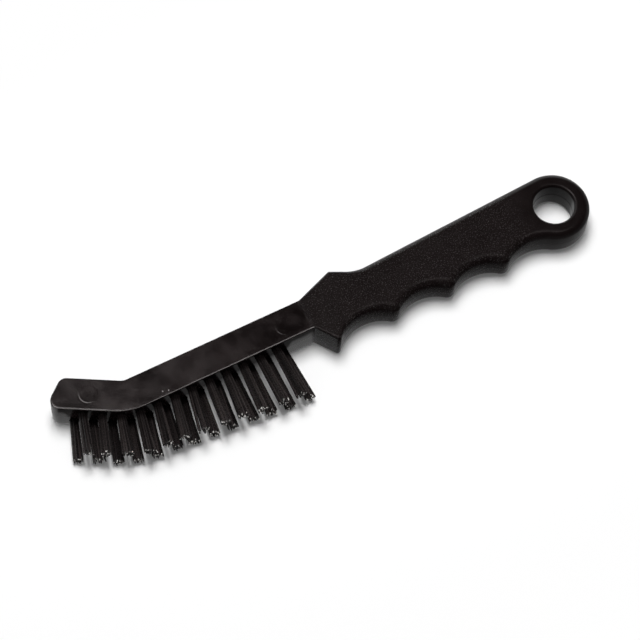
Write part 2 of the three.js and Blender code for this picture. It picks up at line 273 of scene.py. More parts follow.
def cusp_centre(one, two):
    """Centre of the rounding circle that touches two neighbouring finger circles from above."""
    gap = two - one
    rise = np.sqrt((FINGER_R + CUSP_R) ** 2 - gap @ gap / 4)
    return one + gap / 2 + unit(np.array([-gap[1], gap[0]])) * rise


def guard_tip(root, finger):
    """Centre of the guard's tip and where its front starts: a circle on the front and the first finger."""
    front = np.array([np.sin(GUARD_TURN), -np.cos(GUARD_TURN)])
    inward = np.array([-front[1], front[0]])
    start = root + inward * GUARD_TIP_R
    gap = start - finger
    along = gap @ front
    run = -along - np.sqrt(along**2 - gap @ gap + (FINGER_R + GUARD_TIP_R) ** 2)
    centre = start + front * run
    return centre, centre - inward * GUARD_TIP_R


def outline_stretches():
    """The closed plan, counter-clockwise, as (name, edge radius at the start, at the end, points)."""
    fingers = finger_circles()
    cusps = [cusp_centre(a, b) for a, b in zip(fingers[:-1], fingers[1:])]
    guard_root = np.array([GUARD_X, -HALF_W])
    tip, tip_front = guard_tip(guard_root, fingers[0])
    tip_back = facing(fingers[0], FINGER_R, tip)
    ring_low = facing(RING, RING_R, fingers[-1])
    reach = np.linalg.norm(RING - HOLLOW)
    spine = angle_to(HOLLOW, RING) + np.arcsin(RING_R / reach)
    spine_length = np.sqrt(reach**2 - RING_R**2)
    spine_end = HOLLOW + spine_length * np.array([np.cos(spine), np.sin(spine)])
    grip = []
    for i in range(1, FINGER_COUNT):
        enter = facing(fingers[i], FINGER_R, cusps[i - 1])
        leave = facing(fingers[i], FINGER_R, cusps[i]) if i < FINGER_COUNT - 1 else ring_low
        rise = facing(fingers[i - 1], FINGER_R, cusps[i - 1])
        grip.append(arc_between(cusps[i - 1], CUSP_R, rise, enter)[:-1])
        grip.append(arc_between(fingers[i], FINGER_R, enter, leave)[:-1])
    ring_start = angle_to(RING, ring_low)
    grip.append(arc(RING, RING_R, ring_start, angle_to(RING, spine_end) - ring_start))
    first_finger = arc_between(fingers[0], FINGER_R, tip_back, facing(fingers[0], FINGER_R, cusps[0]))
    ramp = np.array([[GUARD_X, HALF_W]])
    return [
        *bar_stretches(guard_root, tip_front),
        ("guard_tip", GUARD_EDGE, GUARD_EDGE, arc_between(tip, GUARD_TIP_R, tip_front, tip_back)[:-1]),
        ("first_finger", GUARD_EDGE, GRIP_EDGE, first_finger[:-1]),
        ("grip", GRIP_EDGE, GRIP_EDGE, np.concatenate(grip)),
        ("thumb_hollow", GRIP_EDGE, PEAK_EDGE, corner(spine_end, HOLLOW, PEAK, HOLLOW_R)),
        ("peak", PEAK_EDGE, PEAK_EDGE, corner(HOLLOW, PEAK, ramp[0], PEAK_R)),
        ("ramp", BAR_EDGE, BAR_EDGE, ramp),
    ]


# %% Join the outline
stretches = outline_stretches()
plan = np.concatenate([points for _, _, _, points in stretches])
edge = np.concatenate([np.linspace(start, end, len(points)) for _, start, end, points in stretches])
nose_count = len(stretches[0][3])
FLANK = np.arange(nose_count - 1, nose_count + len(stretches[1][3]) + 1)  # its columns, both ends in


def miter(points):
    """Inward vectors that move both edges at a point by one: twice the sum of normals over its square."""
    before = points - np.roll(points, 1, axis=0)
    before /= np.linalg.norm(before, axis=1)[:, None]
    after = np.roll(before, -1, axis=0)
    total = np.stack([-before[:, 1] - after[:, 1], before[:, 0] + after[:, 0]], axis=1)
    return 2 * total / (total**2).sum(axis=1)[:, None]


inward = miter(plan)
print("outline points:", len(plan), "spans", np.round(plan.min(0), 2), np.round(plan.max(0), 2))

# %% [markdown]
# ## Meshes from arrays
# Each surface is a grid of points that a formula gives for all points at once. These helpers turn
# grids into faces, fill flat faces that have holes, and put everything into one mesh.

# %% Grids, fills and meshes
def grid_faces(rows, columns, wrap):
    """Quads of a grid counted row by row. With wrap, the last column joins the first."""
    i = np.arange(rows - 1)[:, None]
    j = np.arange(columns if wrap else columns - 1)[None, :]
    a = i * columns + j
    b = i * columns + (j + 1) % columns
    return np.stack([a, a + columns, b + columns, b], axis=-1).reshape(-1, 4)


def circle(centre, radius, count):
    """Points on a circle, counter-clockwise: centre plus radius times (cosine, sine)."""
    a = np.arange(count) * 2 * np.pi / count
    return np.asarray(centre) + radius * np.stack([np.cos(a), np.sin(a)], axis=1)


FILL_TOLERANCE = 1e-7


def fill(border, holes, spare=None):
    """Triangles of a flat face with an outer border, open round holes and spare points between them.
    A triangle whose three corners lie on one hole's loop is inside that hole, and is left out."""
    loops = [border, *holes]
    points = np.concatenate(loops + ([spare] if spare is not None else []))
    edges, start = [], 0
    for loop in loops:
        k = np.arange(len(loop))
        edges.append(start + np.stack([k, (k + 1) % len(loop)], axis=1))
        start += len(loop)
    corners = [Vector(p) for p in points]
    made = geometry.delaunay_2d_cdt(corners, np.concatenate(edges).tolist(), [], 1, FILL_TOLERANCE)
    source = np.array([ids[0] for ids in made[3]])
    faces = source[np.array(made[2])]
    loop_of = np.repeat(np.arange(len(loops)), [len(loop) for loop in loops])
    loop_of = np.concatenate([loop_of, np.zeros(len(points) - len(loop_of), int)])[faces]
    in_hole = (loop_of[:, 0] > 0) & (loop_of == loop_of[:, :1]).all(axis=1)
    return points, faces[~in_hole]


def turn_up(points, faces):
    """Faces of a flat fill, all wound counter-clockwise."""
    a, b, c = (points[faces[:, k]] for k in range(3))
    area = (b - a)[:, 0] * (c - a)[:, 1] - (b - a)[:, 1] * (c - a)[:, 0]
    return np.where(area[:, None] > 0, faces, faces[:, ::-1])


def build(name, parts, merge=None, sharp=35.0):
    """One mesh object from several (points, faces) parts, seams merged, smooth up to an angle."""
    points = np.concatenate([p for p, _ in parts])
    loops, sizes, start = [], [], 0
    for p, faces in parts:
        groups = faces if isinstance(faces, list) else [faces]
        for group in groups:
            loops.append((group + start).ravel())
            sizes.append(np.full(len(group), group.shape[1]))
        start += len(p)
    loops, sizes = np.concatenate(loops), np.concatenate(sizes)
    mesh = bpy.data.meshes.new(name)
    mesh.vertices.add(len(points))
    mesh.vertices.foreach_set("co", to_frame(points).astype(np.float32).ravel())
    mesh.loops.add(len(loops))
    mesh.loops.foreach_set("vertex_index", loops.astype(np.int32))
    mesh.polygons.add(len(sizes))
    mesh.polygons.foreach_set("loop_start", (np.cumsum(sizes) - sizes).astype(np.int32))
    mesh.update(calc_edges=True)
    mesh.validate()
    if merge:
        weld(mesh, merge)
    mesh.polygons.foreach_set("use_smooth", np.ones(len(mesh.polygons), bool))
    mesh.set_sharp_from_angle(angle=np.radians(sharp))
    piece = bpy.data.objects.new(name, mesh)
    bpy.context.scene.collection.objects.link(piece)
    return piece


def weld(mesh, distance):
    """Merges the points that neighbouring parts share."""
    work = bmesh.new()
    work.from_mesh(mesh)
    bmesh.ops.remove_doubles(work, verts=work.verts, dist=distance)
    open_edges = sum(1 for e in work.edges if len(e.link_faces) != 2)
    print(mesh.name, "open edges after the weld:", open_edges)
    work.to_mesh(mesh)
    work.free()


# %% [markdown]
# ## The moulding
# On the real brush bar, guard and grip are one shot of plastic from a mould in two halves. That
# shows in three things: the walls lean in slightly from the middle so that the part lets go, a fine
# raised line runs round the middle where the halves meet, and pins that push the part out leave
# round marks on one face. A subdivided block would lose these, so the section of the edge is a
# formula of height, carried round the outline.

# %% Section of the wall
EDGE_STEPS = 8
DRAFT = np.tan(np.radians(0.6))
PART_HALF = 0.14  # half the width of the parting line
PART_PROUD = 0.035
PART_FLAT = 0.2  # flat strip beside the line, which keeps the shading of the wall level
RIM_FLAT = 0.12  # flat strip inside the rounded edge, which keeps the shading of the face level


def upper_section(radius):
    """Inset and height of the upper half's rings: flat strip, quarter round, drafted wall, level strip."""
    t = np.linspace(0.0, np.pi / 2, EDGE_STEPS + 1)[:, None]
    inset = radius * (1 - np.sin(t))
    height = HALF_T - radius * (1 - np.cos(t))
    ones = np.ones((1, len(radius)))
    inset = np.concatenate([(radius + RIM_FLAT)[None, :], inset, 0 * ones, 0 * ones])
    height = np.concatenate([HALF_T * ones, height, (PART_HALF + PART_FLAT) * ones, PART_HALF * ones])
    return inset + DRAFT * height, height


def wall_rings():
    """All rings round the outline, from the upper face down: the upper half, the line, the lower half."""
    inset, height = upper_section(edge)
    proud = np.full((1, len(edge)), -PART_PROUD)
    inset = np.concatenate([inset, proud, inset[::-1]])
    height = np.concatenate([height, 0 * proud, -height[::-1]])
    flat = plan[None] + inward[None] * inset[..., None]
    return np.concatenate([flat, height[..., None]], axis=-1)


rings = wall_rings()
RING_COUNT, COLUMNS = rings.shape[:2]
wall = grid_faces(RING_COUNT, COLUMNS, wrap=True)
WALL_TOP = EDGE_STEPS + 1  # ring where the rounded edge ends and the wall begins
ring_of = wall[:, 0] // COLUMNS
column_of = wall[:, 0] % COLUMNS
pierced = np.isin(ring_of, [WALL_TOP, RING_COUNT - 2 - WALL_TOP]) & np.isin(column_of, FLANK[:-1])
wall_part = (rings.reshape(-1, 3), wall[~pierced])
print("rings:", RING_COUNT, "columns:", COLUMNS, "left open for the tufts:", int(pierced.sum()))

# %% [markdown]
# ### The pierced flank
# The tuft holes are drilled into the flank after moulding. Unrolled, each half of the flank is a
# strip of length and height with round holes in it, so it is filled flat and then bent back round
# the outline. Each hole continues as a blind bore along its tuft, which leans towards the nose.

# %% Seats of the tufts
def tuft_seat(row, number):
    """Root, lean from the flank's normal, axes and free length of one tuft, by its length on the flank."""
    _, height, first = ROWS[row]
    length = (first + number) * TUFT_PITCH
    root, turn = flank_at(length)
    lean = TUFT_LEAN * min(1.0, length / LEAN_RUN)
    trim = TRIM_HEEL + (TRIM_NOSE - TRIM_HEEL) * min(1.0, length / TRIM_RUN)
    side = np.array([-np.cos(lean), np.sin(lean), 0.0])
    out = np.array([-np.sin(lean), -np.cos(lean), 0.0])
    return {
        "length": length, "height": height, "root": np.array([*root, height]), "tilt": lean - turn,
        "axes": np.stack([side, out, [0.0, 0.0, 1.0]]), "trim": trim, "number": number,
    }


seats = {f"{row}_{i + 1:02d}": tuft_seat(row, i) for row, spec in ROWS.items() for i in range(spec[0])}
print("tufts:", len(seats))

# %% Holes in the flank
HOLE_SIDES = 28
STRIP_STEP = 1.1
MOUTH_MARGIN = 1.25  # no spare point comes nearer to a mouth than this many hole radii
flank_plan = plan[FLANK]
flank_inward = inward[FLANK]
flank_run = np.concatenate([[0.0], np.cumsum(np.linalg.norm(np.diff(flank_plan, axis=0), axis=1))])
HEEL_RUN = flank_run[-1] - (flank_plan[-1, 0] - HEEL_X)


def bend_back(points):
    """From the unrolled strip, (run, height), to the drafted flank: outline point plus inset inward."""
    run, height = points.T
    on_plan, inside = (
        np.stack([np.interp(run, flank_run, table[:, k]) for k in range(2)], axis=1)
        for table in (flank_plan, flank_inward)
    )
    return np.column_stack([on_plan + inside * (DRAFT * np.abs(height))[:, None], height])


def mouth(seat):
    """The oval where a leaning bore meets the flank, in strip coordinates."""
    a = np.arange(HOLE_SIDES) * 2 * np.pi / HOLE_SIDES
    run = HEEL_RUN - seat["length"] - HOLE_R * np.cos(a) / np.cos(seat["tilt"])
    return np.stack([run, seat["height"] + HOLE_R * np.sin(a)], axis=1)


def strip(row):
    """One half of the flank with the mouths of its row left open."""
    sign = np.sign(ROWS[row][1])
    high = HALF_T - BAR_EDGE
    outer = np.stack([flank_run, np.full_like(flank_run, sign * high)], axis=1)
    low = PART_HALF + PART_FLAT
    inner = np.stack([flank_run, np.full_like(flank_run, sign * low)], axis=1)[::-1]
    mouths = [mouth(s) for name, s in seats.items() if name.startswith(row)]
    bend = flank_run[1:-1]
    level = np.arange(low + STRIP_STEP, high, STRIP_STEP) * sign
    spare = np.stack(np.meshgrid(bend, level), axis=-1).reshape(-1, 2)
    gaps = [np.linalg.norm(spare - m.mean(axis=0), axis=1) for m in mouths]
    spare = spare[np.min(gaps, axis=0) > HOLE_R * MOUTH_MARGIN]
    points, faces = fill(np.concatenate([outer, inner]), mouths, spare)
    return bend_back(points), turn_up(points, faces)


def bore(seat):
    """Wall and floor of one blind hole: its mouth, a ring at its depth and the middle of the floor."""
    a = np.arange(HOLE_SIDES) * 2 * np.pi / HOLE_SIDES
    local = np.stack([HOLE_R * np.cos(a), np.full(HOLE_SIDES, -HOLE_DEPTH), HOLE_R * np.sin(a)], axis=1)
    floor = seat["root"] + local @ seat["axes"]
    centre = floor.mean(axis=0, keepdims=True)
    points = np.concatenate([bend_back(mouth(seat)), floor, centre])
    k = np.arange(HOLE_SIDES)
    after = (k + 1) % HOLE_SIDES
    sides = np.stack([k, k + HOLE_SIDES, after + HOLE_SIDES, after], axis=1)
    end = np.stack([after + HOLE_SIDES, k + HOLE_SIDES, np.full(HOLE_SIDES, 2 * HOLE_SIDES)], axis=1)
    return points, [sides, end]


flank_parts = [strip(row) for row in ROWS] + [bore(seat) for seat in seats.values()]
print("flank triangles:", sum(len(f) for _, f in flank_parts[:2]))

# %% [markdown]
# ### The flat faces and the hanging hole
# The bore of the hanging hole is formed by two pins that meet in the middle, where they leave a
# narrow land with an edge above and below. It is a surface of revolution, and so are the marks of
# the ejector pins. The flat faces are filled around them.

# %% Surfaces of revolution on the faces
BORE_SIDES = 120
LAND_HALF = 0.45
LAND_PROUD = 0.07
LAND_BEVEL = 0.02
BORE_DRAFT = np.tan(np.radians(1.0))
EJECTOR_R = 3.4
EJECTOR_PROUD = 0.034
EJECTOR_SLOPE = 0.16
EJECTOR_SIDES = 72
EJECTORS = [(-89.4, 6.9), (-14.4, -0.9), (3.5, -4.1), (83.5, 3.7)]


def revolve(centre, profile, count):
    """Rings of (radius, height) round a vertical axis."""
    rows = [np.column_stack([circle(centre, r, count), np.full(count, z)]) for r, z in profile]
    return np.concatenate(rows)


def hole_profile():
    """The hanging hole from the upper face down: flat strip, rounded rim, drafted bore, land, mirrored."""
    t = np.linspace(0.0, np.pi / 2, EDGE_STEPS + 1)
    rim = np.stack([HANG_R + HANG_EDGE * (1 - np.sin(t)), HALF_T - HANG_EDGE * (1 - np.cos(t))], axis=1)
    narrow = HANG_R - BORE_DRAFT * (HALF_T - HANG_EDGE - LAND_HALF)
    land = [[narrow, LAND_HALF + LAND_BEVEL], [narrow - LAND_PROUD, LAND_HALF - LAND_PROUD]]
    upper = np.concatenate([[[HANG_R + HANG_EDGE + RIM_FLAT, HALF_T]], rim, land])
    return np.concatenate([upper, upper[::-1] * [1, -1]])


profile = hole_profile()
hole_faces = grid_faces(len(profile), BORE_SIDES, wrap=True)[:, ::-1]
hole_part = (revolve(RING, profile, BORE_SIDES), hole_faces)


def ejector_mark(centre):
    """A slightly raised disc: a flat strip round it, its slope, a flat strip inside and the middle."""
    top = HALF_T + EJECTOR_PROUD
    inner = EJECTOR_R - EJECTOR_SLOPE
    profile = [(EJECTOR_R + RIM_FLAT, HALF_T), (EJECTOR_R, HALF_T), (inner, top), (inner - RIM_FLAT, top)]
    points = revolve(centre, profile, EJECTOR_SIDES)
    middle = [[*centre, top]]
    k = np.arange(EJECTOR_SIDES)
    last = (len(profile) - 1) * EJECTOR_SIDES
    hub = np.full(EJECTOR_SIDES, last + EJECTOR_SIDES)
    fan = np.stack([last + k, last + (k + 1) % EJECTOR_SIDES, hub], axis=1)
    sides = grid_faces(len(profile), EJECTOR_SIDES, wrap=True)[:, ::-1]
    return np.concatenate([points, middle]), [sides, fan]


def face(ring, height, marks):
    """A flat face inside one ring of the wall, around the hanging hole and any marks."""
    holes = [circle(RING, profile[0][0], BORE_SIDES)]
    holes += [circle(centre, EJECTOR_R + RIM_FLAT, EJECTOR_SIDES) for centre in marks]
    points, faces = fill(ring[:, :2], holes)
    faces = turn_up(points, faces)
    points = np.column_stack([points, np.full(len(points), height)])
    return points, faces if height > 0 else faces[:, ::-1]


face_parts = [face(rings[0], HALF_T, EJECTORS), face(rings[-1], -HALF_T, [])]
mark_parts = [ejector_mark(centre) for centre in EJECTORS]
print("face triangles:", [len(f) for _, f in face_parts])

# %% One closed moulding
WELD = 2e-7  # metres
handle_parts = [wall_part, *flank_parts, hole_part, *face_parts, *mark_parts]
handle = build("handle_moulding", handle_parts, merge=WELD)
print("handle faces:", len(handle.data.polygons))

# %% [markdown]
# A fine light line runs along the edges of the bristle flank: a painted highlight, a pale colour in place
# of a lamp's glint on the rounded edge. A lamp alone would not keep it from every side, so it is painted
# into the finish. Its amount is stored on the points: it is one at the line, falls to nothing beside it,
# and ends where the guard takes over.

# %% Painted highlight on the edges
HIGHLIGHT_ANGLE = np.radians(34)  # where the painted highlight is strongest, from the flat face
HIGHLIGHT_HALF = np.radians(13)
HIGHLIGHT_REACH = 1.2  # how far in from the flank an edge counts as its edge


def edge_highlight_share(points):
    """Share of the painted highlight: one minus the angle from the line over its half width, on the rounded
    edges of the bristle flank.
    """
    x, y, z = points.T
    drop = np.clip((HALF_T - np.abs(z)) / BAR_EDGE, 0.0, 1.0)
    line = 1 - np.abs(np.arccos(1 - drop) - HIGHLIGHT_ANGLE) / HIGHLIGHT_HALF
    beyond = np.stack([x - BEND_X, y], axis=1) @ NOSE_ACROSS
    near = np.maximum(-y, -beyond) > HALF_W - HIGHLIGHT_REACH
    return np.clip(line, 0.0, 1.0) * (near & (x < GUARD_X))


def store(piece, name, domain, values):
    """Keeps one number for every point or face of a mesh, for its material to read."""
    layer = piece.data.attributes.new(name, "FLOAT", domain)
    layer.data.foreach_set("value", values.ravel().astype(np.float32))


spots = np.empty(3 * len(handle.data.vertices), np.float32)
handle.data.vertices.foreach_get("co", spots)
# The painted highlight along the flank's edges, stored on the points for the plastic to read.
edge_highlight = edge_highlight_share((spots.reshape(-1, 3) - ORIGIN) / MM)
store(handle, "edge_highlight", "POINT", edge_highlight)
# Counts the points that carry the painted highlight.
print("rubbed points:", int((edge_highlight > 0).sum()))

# %% [markdown]
# ## The tufts
# A tuft is a bundle of stiff drawn nylon, folded in half over a flat wire anchor that is driven into
# the hole, and trimmed afterwards. Hair particles would not fold, so each filament is a five-sided
# tube along a path like a U: down one leg, under the anchor, and up the other leg. The places in the
# hole are packed like a honeycomb, and the legs part slightly towards their cut ends.

# %% Where the filaments sit
FILAMENT_R = 0.26
FILAMENT_SIDES = 5
FILAMENT_GAP = 0.03  # to the anchor and to the floor of the hole
PACKING = 2 * FILAMENT_R + 0.005


def folded_places():
    """Places on one side of the anchor: staggered rows parallel to it, as far as the hole reaches."""
    fit = int(np.ceil(HOLE_R / PACKING)) + 1
    across, row = np.meshgrid(np.arange(-fit, fit), np.arange(fit))
    x = (across + 0.5 * ((row + 1) % 2)) * PACKING
    z = ANCHOR_T / 2 + FILAMENT_R + FILAMENT_GAP + row * PACKING * np.sqrt(3) / 2
    inside = np.hypot(x, z) < HOLE_R - FILAMENT_R
    return x[inside], z[inside]


PLACE_X, PLACE_Z = folded_places()
print("filaments to a tuft:", len(PLACE_X), "with two ends each")

# %% Paths and tubes of one tuft
TUFT_SPREAD = 0.33
BOW = 0.16  # how far single filaments bow sideways
SETTLE = 0.02  # how far a whole tuft leans aside from use, per length
STRAY_SHARE = 0.06
STRAY_BOW = 0.6
TRIM_UNEVEN = 0.4
LEG_LEVELS = np.array([0.0, 0.42, 0.78, 1.0])  # shares of the free length where a leg has a point
CUT_SLANT = (0.3, 1.3)  # slopes of the cut ends
CUT_GLINT_DRAW = (-2.4, 1.6)  # share of painted glint on the cut ends, drawn evenly, then held to the limits, so that most ends stay dark
CUT_LIMITS = (0.02, 1.0)
FOLD_ANGLES = np.radians([45, 90, 135])
SEED = 7


def leg_paths(seat, side, settle, draw):
    """Points of all legs on one side, from the anchor's lower edge to the cut end: the place in the hole,
    widened with height, plus the tuft's own lean and a bow that grows with the square of the height."""
    count = len(PLACE_X)
    bow = draw.normal(0.0, BOW, (count, 2))
    stray = draw.random(count) < STRAY_SHARE
    bow[stray] *= STRAY_BOW / BOW
    slope = (TRIM_NOSE - TRIM_HEEL) / TRIM_RUN
    tip = seat["trim"] + slope * PLACE_X + draw.uniform(-TRIM_UNEVEN, TRIM_UNEVEN, count)
    share = LEG_LEVELS[None, :]
    wide = 1 + TUFT_SPREAD * share
    y = tip[:, None] * share
    x = PLACE_X[:, None] * wide + bow[:, :1] * share**2 + settle[0] * y
    z = side * PLACE_Z[:, None] * wide + bow[:, 1:] * share**2 + settle[1] * y
    free = np.stack([x, y, z], axis=-1)
    foot = np.stack([PLACE_X, np.full(count, -ANCHOR_MIDDLE - ANCHOR_H / 2), side * PLACE_Z], axis=-1)
    return np.concatenate([foot[:, None], free], axis=1)


def fold_paths():
    """Half ovals under the anchor, the inner filaments close to it and the outer ones on the floor."""
    inner = FILAMENT_R + FILAMENT_GAP
    outer = HOLE_DEPTH - ANCHOR_MIDDLE - ANCHOR_H / 2 - FILAMENT_R - FILAMENT_GAP
    depth = np.interp(PLACE_Z, [PLACE_Z.min(), PLACE_Z.max()], [inner, outer])[:, None]
    a = FOLD_ANGLES[None, :]
    y = -ANCHOR_MIDDLE - ANCHOR_H / 2 - depth * np.sin(a)
    x = np.repeat(PLACE_X[:, None], len(FOLD_ANGLES), axis=1)
    return np.stack([x, y, PLACE_Z[:, None] * np.cos(a)], axis=-1)


def tubes(paths):
    """Rings round every path: point + radius * (cos a * side + sin a * normal), square to the path."""
    along = np.gradient(paths, axis=1)
    along /= np.linalg.norm(along, axis=-1, keepdims=True)
    normal = np.cross(along, [1.0, 0.0, 0.0])
    normal /= np.linalg.norm(normal, axis=-1, keepdims=True)
    side = np.cross(normal, along)
    a = (np.arange(FILAMENT_SIDES) * 2 * np.pi / FILAMENT_SIDES)[:, None]
    spread = np.cos(a) * side[:, :, None] + np.sin(a) * normal[:, :, None]
    return paths[:, :, None] + FILAMENT_R * spread


def make_tuft(label, seat):
    """One tuft as a mesh, with its cut ends marked by their share of painted glint, and a shade for every
    filament.
    """
    draw = np.random.default_rng([SEED, seat["number"], int(seat["height"] > 0)])
    settle = draw.normal(0.0, SETTLE, 2)
    one, two = leg_paths(seat, 1, settle, draw), leg_paths(seat, -1, settle, draw)
    paths = np.concatenate([one[:, ::-1], fold_paths(), two], axis=1)
    local = tubes(paths)
    for end in (0, -1):
        slant = draw.uniform(*CUT_SLANT, (len(paths), 1))
        local[:, end, :, 1] -= slant * (local[:, end, :, 2] - paths[:, end, 2:])
    count, steps = local.shape[:2]
    points = seat["root"] + local.reshape(-1, 3) @ seat["axes"]
    start = (np.arange(count) * steps * FILAMENT_SIDES)[:, None, None]
    skin = (start + grid_faces(steps, FILAMENT_SIDES, wrap=True)[None, :, ::-1]).reshape(-1, 4)
    rim = np.arange(FILAMENT_SIDES)
    first = start[:, 0] + rim[::-1]
    last = start[:, 0] + (steps - 1) * FILAMENT_SIDES + rim
    piece = build(f"bristles_{label}", [(points, [skin, first, last])])
    # Each cut end gets its share of a painted glint.
    end_glint = np.clip(draw.uniform(*CUT_GLINT_DRAW, 2 * count), *CUT_LIMITS)
    shade = draw.random(count) ** 2
    store(piece, "cut_and_glint", "FACE", np.concatenate([np.zeros(len(skin)), end_glint]))
    store(piece, "shade", "FACE", np.concatenate([np.repeat(shade, len(skin) // count), shade, shade]))
    store(piece, "reach", "POINT", local[..., 1])
    return piece


tufts = {label: make_tuft(label, seat) for label, seat in seats.items()}
print("tufts:", len(tufts), "faces each:", len(tufts["lower_01"].data.polygons))

# %% [markdown]
# ## Finishes
# The moulding is one plastic with two surfaces: the bar came from a polished mould and is satin, the
# grip from an eroded one and is finely grained. The border between them follows the bolster. Painted
# pictures would need unwrapped meshes, so all patterns are formulas instead. They read Object
# coordinates, which are metres of the frame, so a scale of 1000 repeats every millimetre or so.

# %% Node helpers
def empty_material(name):
    """A material with nothing but its output."""
    material = bpy.data.materials.new(name)
    material.use_nodes = True
    tree = material.node_tree
    tree.nodes.clear()
    return material, tree, tree.nodes.new("ShaderNodeOutputMaterial")


def new_material(name):
    """A material with one shader on its output."""
    material, tree, output = empty_material(name)
    shader = tree.nodes.new("ShaderNodeBsdfPrincipled")
    tree.links.new(shader.outputs[0], output.inputs["Surface"])
    return material, tree, shader


def add(tree, kind, settings=None, **sockets):
    """A node with its settings; a socket gets a value, or a link if it is given another socket."""
    made = tree.nodes.new("ShaderNode" + kind)
    for key, value in (settings or {}).items():
        setattr(made, key, value)
    for key, value in sockets.items():
        socket = made.inputs[int(key[1:])] if key[0] == "i" and key[1:].isdigit() else made.inputs[key]
        if isinstance(value, bpy.types.NodeSocket):
            tree.links.new(value, socket)
        else:
            socket.default_value = value
    return made


def math(tree, operation, a, b=0.0, c=0.0):
    """The result of one sum."""
    return add(tree, "Math", {"operation": operation}, i0=a, i1=b, i2=c).outputs[0]


def between(tree, value, low, high, to_low=0.0, to_high=1.0):
    """A value carried smoothly from one range to another."""
    made = add(tree, "MapRange", {"interpolation_type": "SMOOTHSTEP"})
    tree.links.new(value, made.inputs["Value"])
    for key, number in zip(("From Min", "From Max", "To Min", "To Max"), (low, high, to_low, to_high)):
        made.inputs[key].default_value = number
    return made.outputs["Result"]


def noise(tree, vector, scale, detail=2.0, rough=0.5):
    """Soft noise, about 0 to 1."""
    return add(tree, "TexNoise", Vector=vector, Scale=scale, Detail=detail, Roughness=rough).outputs[0]


def blend(tree, share, first, second, kind="RGBA"):
    """A colour, or a number, between two: the first at share 0, the second at share 1."""
    return add(tree, "Mix", {"data_type": kind}, Factor=share, A=first, B=second).outputs["Result"]


def stored(tree, name):
    """A value that was stored on the mesh."""
    return add(tree, "Attribute", {"attribute_name": name}).outputs["Fac"]


# %% [markdown]
# ### Dull and polished plastic
# The shine isn't the same all over. In the photograph the wall under the upper edge of the bristle side
# and the flank between the tufts look dull, and the rounded back of the grip looks polished, as by a
# hand. A mask painted by hand would have to be drawn again for each size, so the mask is a product of
# ranges of place and direction.

# %% Dull and polished stretches
GRAIN_FADES = (0.074, 0.086)  # where the grain runs out towards the ring, in metres along the frame
DULL_FACES = (-0.6, -0.85)  # how far a wall turns to the bristle side, from shiny to dull
DULL_HEIGHTS = np.array([7.6, 10.4, 12.6, 12.95])  # over the lying face, dull from the second to the third
DULL_GRIP = -6.6  # the band reaches further down on the grip
DULL_TUFTS = (-6.6, -4.4)  # and so do its two lower heights between the tufts
DULL_RING = 0.4  # share of the dullness towards the ring
DULL_SHARE = 0.92  # share of the shine that is lost in the band
SPINE_FACES = (0.05, 0.35)  # how far the back of the grip turns away, from plain to polished
SPINE_SHINE = 4.0


def polish(tree, grip):
    """Share of the shine: one less the dull share of the band, times one plus the polish of the back."""
    coordinates = add(tree, "TexCoord").outputs
    along, _, height = add(tree, "SeparateXYZ", Vector=coordinates["Object"]).outputs
    facing = add(tree, "SeparateXYZ", Vector=coordinates["Normal"]).outputs["Y"]
    to_ring = between(tree, along, *GRAIN_FADES, 1.0, DULL_RING)
    front = math(tree, "MULTIPLY", between(tree, facing, *DULL_FACES), to_ring)
    first, last = (to_frame(seats[name]["root"])[0] for name in ("lower_13", "lower_01"))
    beside = TUFT_PITCH / 2 * MM
    from_nose = between(tree, along, first - beside, first)
    tufted = math(tree, "MULTIPLY", from_nose, between(tree, along, last + beside, last))
    low, high, rim, top = DULL_HEIGHTS * MM
    low = math(tree, "MULTIPLY_ADD", grip, DULL_GRIP * MM, low)
    low = math(tree, "MULTIPLY_ADD", tufted, DULL_TUFTS[0] * MM, low)
    high = math(tree, "MULTIPLY_ADD", tufted, DULL_TUFTS[1] * MM, high)
    band = add(tree, "MapRange", i0=height, i1=low, i2=high).outputs["Result"]
    under = math(tree, "MULTIPLY", band, between(tree, height, top, rim))
    dull = math(tree, "MULTIPLY_ADD", math(tree, "MULTIPLY", under, front), -DULL_SHARE, 1.0)
    spine = math(tree, "MULTIPLY", between(tree, facing, *SPINE_FACES), grip)
    return math(tree, "MULTIPLY", dull, math(tree, "MULTIPLY_ADD", spine, SPINE_SHINE, 1.0))


# %% [markdown]
# ### The plastic
# Black plastic is never even: on the satin bar the tone wanders in clouds and smudges, and fine flow marks
# run along it. The grain of the grip is a noise of which only the peaks count, and these stand up as a bump
# and are painted a little paler, as glints. Real grain as geometry would take millions of faces.

# %% Grain, tone, painted highlight and specks
GRAIN_LEAD = 0.4  # millimetres before the guard where the grain begins
GRAIN_X = (GUARD_X - GRAIN_LEAD) * MM + ORIGIN[0]
GRAIN_BLEND = 0.0030
GRAIN_SCALE = 2300.0
GRAIN_PEAKS = (0.55, 0.72)
GRAIN_RING = 0.12  # share of the grain that is left on the ring
GRAIN_HEIGHT = 0.00009
CLOUD_SCALE = 150.0
CLOUD_RANGE = (0.32, 0.68)
SMUDGE_SCALE = 45.0
SMUDGE_RANGE = (0.34, 0.66)
CALM_GRIP = 0.8  # how much less the tone wanders on the grip
FLOW_STRETCH = (60.0, 420.0, 420.0)  # flow marks are long along the bar
FLOW_HIGHLIGHT = (0.2, 0.6, 0.55, 1.0)  # range of the flow marks, and the share of the painted highlight and specks they let through
PLASTIC_DARK = (0.0022, 0.0012, 0.0012, 1)
PLASTIC_LIGHT = (0.0122, 0.0084, 0.0084, 1)
# The grain's peaks are painted paler, as glints.
PLASTIC_PEAK_GLINT = (0.030, 0.025, 0.024, 1)
# Pale colour of the painted highlight along the edges, and of the two specks.
PLASTIC_HIGHLIGHT_AND_SPECK = (0.30, 0.285, 0.28, 1)
PALE_SPECKS = [(-65.2, -4.1), (-63.1, -4.7)]  # two in the bar's upper face
SPECK_R = 0.46


